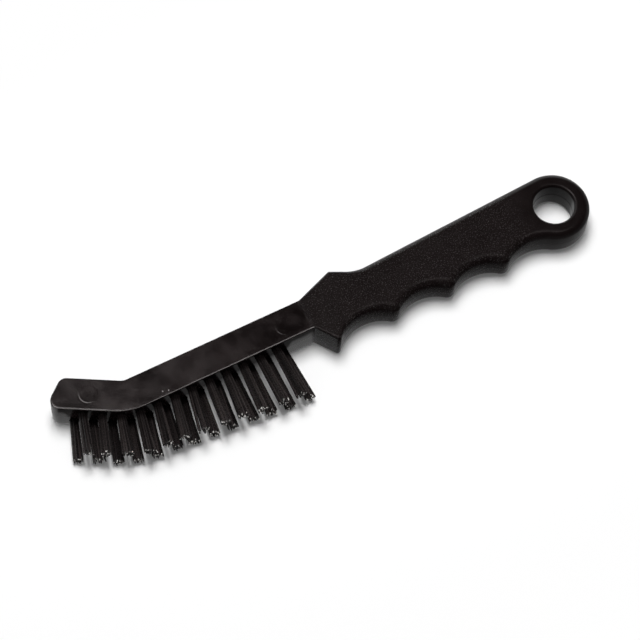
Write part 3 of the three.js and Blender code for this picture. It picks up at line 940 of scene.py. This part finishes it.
def grain_on_grip(tree, place, x, grip):
    """Peaks of a fine noise, on the grip only, running out towards the ring."""
    peaks = between(tree, noise(tree, place, GRAIN_SCALE, 3.0, 0.6), *GRAIN_PEAKS)
    grain_and_glint = math(tree, "MULTIPLY", grip, between(tree, x, *GRAIN_FADES, 1.0, GRAIN_RING))
    return math(tree, "MULTIPLY", peaks, grain_and_glint)


def wandering_tone(tree, place, grip):
    """Clouds, and their sum with wider smudges brought to -1 to 1, calmer on the grip."""
    cloud = between(tree, noise(tree, place, CLOUD_SCALE, 4.0, 0.6), *CLOUD_RANGE)
    smudge = between(tree, noise(tree, place, SMUDGE_SCALE, 2.0), *SMUDGE_RANGE)
    both = math(tree, "ADD", math(tree, "ADD", cloud, smudge), -1.0)
    return cloud, math(tree, "MULTIPLY", both, math(tree, "MULTIPLY_ADD", grip, -CALM_GRIP, 1.0))


def painted_highlight_and_specks(tree, place, flow):
    """The painted highlight stored on the edges, or a pale speck where that is more, broken up along the
    flow marks.
    """
    highlight_and_specks = stored(tree, "edge_highlight")
    for speck in PALE_SPECKS:
        gap = add(tree, "VectorMath", {"operation": "DISTANCE"}, i0=place, i1=to_frame([*speck, HALF_T]))
        highlight_and_specks = math(tree, "MAXIMUM", highlight_and_specks, between(tree, gap.outputs["Value"], SPECK_R * MM, 0.0))
    return math(tree, "MULTIPLY", highlight_and_specks, between(tree, flow, *FLOW_HIGHLIGHT))


# %% Moulded plastic
TONE_BAR = 0.52
TONE_GRIP = 0.28
TONE_WANDERS = 0.5
SHEEN_BAR = 0.30
SHEEN_GRIP = 0.08
SHEEN_PEAK = 0.30  # more on the peaks of the grain
SHEEN_WANDERS = (0.4, 1.03)  # by how much, and about what
ROUGH_BAR = 0.14
ROUGH_GRIP = 0.28
ROUGH_FLOW = 0.05
ROUGH_CLOUD = 0.04
SATIN_SCALE = 900.0
SATIN_RELIEF = 0.03  # share of the grain's height


def moulded_plastic():
    """Black plastic: satin on the bar, grained on the grip with painted glints on the peaks, with flow
    marks, a painted highlight on the edges and two pale specks.
    """
    material, tree, shader = new_material("handle_plastic")
    place = add(tree, "TexCoord").outputs["Object"]
    x = add(tree, "SeparateXYZ", Vector=place).outputs["X"]
    grip = between(tree, x, GRAIN_X - GRAIN_BLEND / 2, GRAIN_X + GRAIN_BLEND / 2)
    grain = grain_on_grip(tree, place, x, grip)
    cloud, wander = wandering_tone(tree, place, grip)
    flow = noise(tree, add(tree, "Mapping", Vector=place, Scale=FLOW_STRETCH).outputs[0], 1.0, 2.0)
    tone = math(tree, "MULTIPLY_ADD", grip, TONE_GRIP - TONE_BAR, TONE_BAR)
    plain = blend(tree, math(tree, "MULTIPLY_ADD", wander, TONE_WANDERS, tone), PLASTIC_DARK, PLASTIC_LIGHT)
    # Painted glints: the grain's peaks take a paler colour.
    grain_and_glint = blend(tree, grain, plain, PLASTIC_PEAK_GLINT)
    # Pale colour painted along the flank's edges as a highlight, and on the two specks.
    colour = blend(tree, painted_highlight_and_specks(tree, place, flow), grain_and_glint, PLASTIC_HIGHLIGHT_AND_SPECK)
    tree.links.new(colour, shader.inputs["Base Color"])
    rough = math(tree, "MULTIPLY_ADD", grip, ROUGH_GRIP - ROUGH_BAR, ROUGH_BAR)
    rough = math(tree, "MULTIPLY_ADD", flow, ROUGH_FLOW, rough)
    tree.links.new(math(tree, "MULTIPLY_ADD", cloud, ROUGH_CLOUD, rough), shader.inputs["Roughness"])
    sheen = math(tree, "MULTIPLY_ADD", grip, SHEEN_GRIP - SHEEN_BAR, SHEEN_BAR)
    sheen = math(tree, "MULTIPLY_ADD", grain, SHEEN_PEAK, sheen)
    sheen = math(tree, "MULTIPLY", sheen, math(tree, "MULTIPLY_ADD", wander, *SHEEN_WANDERS))
    tree.links.new(math(tree, "MULTIPLY", sheen, polish(tree, grip)), shader.inputs["Specular IOR Level"])
    satin = noise(tree, place, SATIN_SCALE, 3.0)
    relief = math(tree, "MULTIPLY_ADD", satin, SATIN_RELIEF, grain)
    bump = add(tree, "Bump", Height=relief, Strength=1.0, Distance=GRAIN_HEIGHT)
    tree.links.new(bump.outputs[0], shader.inputs["Normal"])
    return material


# %% [markdown]
# ### Nylon and wire
# The filaments are taken to be drawn black nylon. Their colour holds a painted shade near the flank and is
# painted lighter towards their ends, as the light falls on them. Each filament has its own shade of black,
# and some of the cut ends carry a painted glint. The material reads values that were stored while the
# filaments were made, so that one serves all tufts. The anchors are steel wire with fine drawing lines.

# %% Drawn nylon and flat wire
ROOT_SHADED = 1.3  # heights above the flank in millimetres; below the first the root is all painted shade
ROOT_LIT = 3.6
LIT_START = 0.55  # share of the painted light there; it is full at the height of the shortest tuft
# The colour of the painted shade at the root; the dark and pale tones below are each filament's own.
NYLON_SHADED_ROOT = (0.0030, 0.0022, 0.0022, 1)
NYLON_DARK = (0.0070, 0.0056, 0.0056, 1)
NYLON_PALE = (0.0380, 0.0310, 0.0302, 1)
# A painted glint, pale on some cut ends.
NYLON_CUT_GLINT = (0.80, 0.78, 0.75, 1)
NYLON_SHEEN = (0.38, 0.12)  # more where the painted light is full, and the level at the shaded root
NYLON_ROUGH = (0.25, 0.22)  # more at a cut end, and on the skin
SPECKLE_SCALE = 1800.0
SPECKLE_ROUGH = 0.12
WIRE_STEEL = (0.56, 0.56, 0.57, 1)
WIRE_STRETCH = (300.0, 6000.0, 6000.0)  # drawing lines are long along the wire
WIRE_ROUGH = (0.2, 0.25)  # more on a line, and between the lines


def drawn_nylon():
    """Black filament: a painted shade at the root, painted lighter with height above it, its own shade of
    black, and a painted glint on some cut ends.
    """
    material, tree, shader = new_material("bristle_nylon")
    cut_and_glint, shade, reach = (stored(tree, name) for name in ("cut_and_glint", "shade", "reach"))
    # Painted light and shade: dark at the root, lighter with height up to the ends.
    lighter_further_out = between(tree, reach, ROOT_LIT, TRIM_NOSE, LIT_START, 1.0)
    painted_lighting = math(tree, "MULTIPLY", between(tree, reach, ROOT_SHADED, ROOT_LIT), lighter_further_out)
    body = blend(tree, painted_lighting, NYLON_SHADED_ROOT, blend(tree, shade, NYLON_DARK, NYLON_PALE))
    # Some cut ends take the pale colour of a painted glint.
    tree.links.new(blend(tree, cut_and_glint, body, NYLON_CUT_GLINT), shader.inputs["Base Color"])
    tree.links.new(math(tree, "MULTIPLY_ADD", painted_lighting, *NYLON_SHEEN), shader.inputs["Specular IOR Level"])
    speckle = noise(tree, add(tree, "TexCoord").outputs["Object"], SPECKLE_SCALE, 2.0)
    dull = math(tree, "MULTIPLY_ADD", cut_and_glint, *NYLON_ROUGH)
    tree.links.new(math(tree, "MULTIPLY_ADD", speckle, SPECKLE_ROUGH, dull), shader.inputs["Roughness"])
    return material


def flat_wire():
    """Drawn steel wire with fine lines along its length."""
    material, tree, shader = new_material("anchor_steel")
    place = add(tree, "TexCoord").outputs["Object"]
    lines = noise(tree, add(tree, "Mapping", Vector=place, Scale=WIRE_STRETCH).outputs[0], 1.0, 3.0)
    shader.inputs["Base Color"].default_value = WIRE_STEEL
    shader.inputs["Metallic"].default_value = 1.0
    tree.links.new(math(tree, "MULTIPLY_ADD", lines, *WIRE_ROUGH), shader.inputs["Roughness"])
    return material


# %% Dress the pieces
plastic, nylon, steel = moulded_plastic(), drawn_nylon(), flat_wire()
handle.data.materials.append(plastic)
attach(handle, "root")
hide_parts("handle")
for label, piece in tufts.items():
    piece.data.materials.append(nylon)
    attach(piece, "root")
    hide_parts(f"tuft_{label}")
    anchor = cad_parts[f"anchor_{label}"]
    anchor.data.materials.clear()
    anchor.data.materials.append(steel)
print("pieces:", 1 + len(tufts), "and the anchors", len(seats))

# %% [markdown]
# ## Floor and light
# The photograph is a cut-out on white with a soft shadow. A white floor does the same: close to the
# brush it is lit and takes the shadow, and further out it turns into plain white for the camera. In
# reflections it is even, and dimmer near the brush, where the real paper is shaded. One softbox gives
# only the even light and the shadow, and two give only the shine, so that each can be set by itself.
# The satin top stays black because the studio above it is dim in the shine.

# %% Floor
FLOOR_HALF = 8.0  # lengths in metres
FLOOR_DROP = 0.00003
FLOOR_WHITE = (0.86, 0.86, 0.86, 1)
FLOOR_LIFT = 0.05
FLOOR_MIRRORED = 0.62  # brightness near the brush in reflections
SHADOW_NEAR = 0.07
SHADOW_FAR = 0.16
SHADOW_OVAL = (0.55, 1.0, 1.0)  # lengths along the brush count less


def white_floor():
    """Diffuse white with the shadow near the brush, plain white further out, and even in reflections."""
    material, tree, output = empty_material("floor_white")
    path = add(tree, "LightPath")
    seen = path.outputs["Is Camera Ray"]
    mirrored = math(tree, "MAXIMUM", path.outputs["Is Glossy Ray"], path.outputs["Is Transmission Ray"])
    place = add(tree, "TexCoord").outputs["Object"]
    oval = add(tree, "Mapping", Vector=place, Scale=SHADOW_OVAL).outputs[0]
    distance = add(tree, "VectorMath", {"operation": "LENGTH"}, i0=oval).outputs["Value"]
    far = between(tree, distance, SHADOW_NEAR, SHADOW_FAR)
    lit = add(tree, "BsdfDiffuse", Color=FLOOR_WHITE)
    lift = add(tree, "Emission", Strength=math(tree, "MULTIPLY", seen, FLOOR_LIFT))
    near = add(tree, "AddShader", i0=lit.outputs[0], i1=lift.outputs[0])
    dim = between(tree, distance, SHADOW_NEAR, SHADOW_FAR, FLOOR_MIRRORED, 1.0)
    white = add(tree, "Emission", Strength=blend(tree, mirrored, 1.0, dim, "FLOAT"))
    plain = math(tree, "MAXIMUM", mirrored, math(tree, "MULTIPLY", seen, far))
    mixed = add(tree, "MixShader", i0=plain, i1=near.outputs[0], i2=white.outputs[0])
    tree.links.new(mixed.outputs[0], output.inputs["Surface"])
    return material


corners = FLOOR_HALF * np.array([[-1, -1, 0], [1, -1, 0], [1, 1, 0], [-1, 1, 0]])
floor_mesh = bpy.data.meshes.new("floor")
floor_mesh.from_pydata((corners - [0, 0, FLOOR_DROP]).tolist(), [], [[0, 1, 2, 3]])
floor_mesh.materials.append(white_floor())
floor = bpy.data.objects.new("floor", floor_mesh)
bpy.context.scene.collection.objects.link(floor)
print("floor:", 2 * FLOOR_HALF, "m square,", FLOOR_DROP / MM, "mm below the brush")

# %% Softboxes
SOFTBOXES = {  # place in metres, side lengths in metres, power in watts, whether it mirrors
    "softbox_key": ((0.06, 0.32, 1.27), (0.54, 0.66), 17.8, False),
    "softbox_sheen": ((-0.38, 0.31, 1.21), (0.66, 0.66), 18.5, True),
    "softbox_edge": ((0.29, -0.10, 1.20), (0.24, 0.24), 1.8, True),
}
SHEEN_COLOUR = (1.0, 0.94, 0.93)


def softbox(name, place, sides, power, mirrors):
    """A rectangular lamp that faces the brush, for the shine on it or for the even light and shadow."""
    lamp = bpy.data.lights.new(name, "AREA")
    lamp.shape = "RECTANGLE"
    lamp.size, lamp.size_y = sides
    lamp.energy = power
    lamp.color = SHEEN_COLOUR if mirrors else (1, 1, 1)
    made = bpy.data.objects.new(name, lamp)
    made.visible_diffuse = not mirrors
    made.visible_glossy = mirrors
    made.location = place
    made.rotation_euler = (-Vector(place)).to_track_quat("-Z", "Y").to_euler()
    bpy.context.scene.collection.objects.link(made)
    return made


lamps = [softbox(name, *spec) for name, spec in SOFTBOXES.items()]
print("lamps:", [lamp.name for lamp in lamps])

# %% Studio
STUDIO_HORIZON = 1.0
STUDIO_ABOVE = 0.05
STUDIO_FILL = 0.20
HORIZON_SINE = 0.08  # sines of the heights between which the studio dims
ABOVE_SINE = 0.45
BACKDROP_TILT = 0.25  # the white paper rises behind the brush by this share


def studio_world():
    """White behind the brush, as its paper; dim above in the shine, and even for the fill."""
    world = bpy.data.worlds.new("studio")
    world.use_nodes = True
    tree = world.node_tree
    direction = add(tree, "TexCoord").outputs["Generated"]
    place = add(tree, "SeparateXYZ", Vector=direction)
    height = math(tree, "MULTIPLY_ADD", place.outputs["Y"], -BACKDROP_TILT, place.outputs["Z"])
    level = between(tree, height, HORIZON_SINE, ABOVE_SINE, STUDIO_HORIZON, STUDIO_ABOVE)
    path = add(tree, "LightPath")
    filled = blend(tree, path.outputs["Is Diffuse Ray"], level, STUDIO_FILL, "FLOAT")
    seen = blend(tree, path.outputs["Is Camera Ray"], filled, STUDIO_HORIZON, "FLOAT")
    tree.links.new(seen, tree.nodes["Background"].inputs["Strength"])
    tree.nodes["Background"].inputs["Color"].default_value = (1, 1, 1, 1)
    return world


bpy.context.scene.world = studio_world()
bpy.context.scene.view_settings.view_transform = "Standard"
print("world:", bpy.context.scene.world.name)
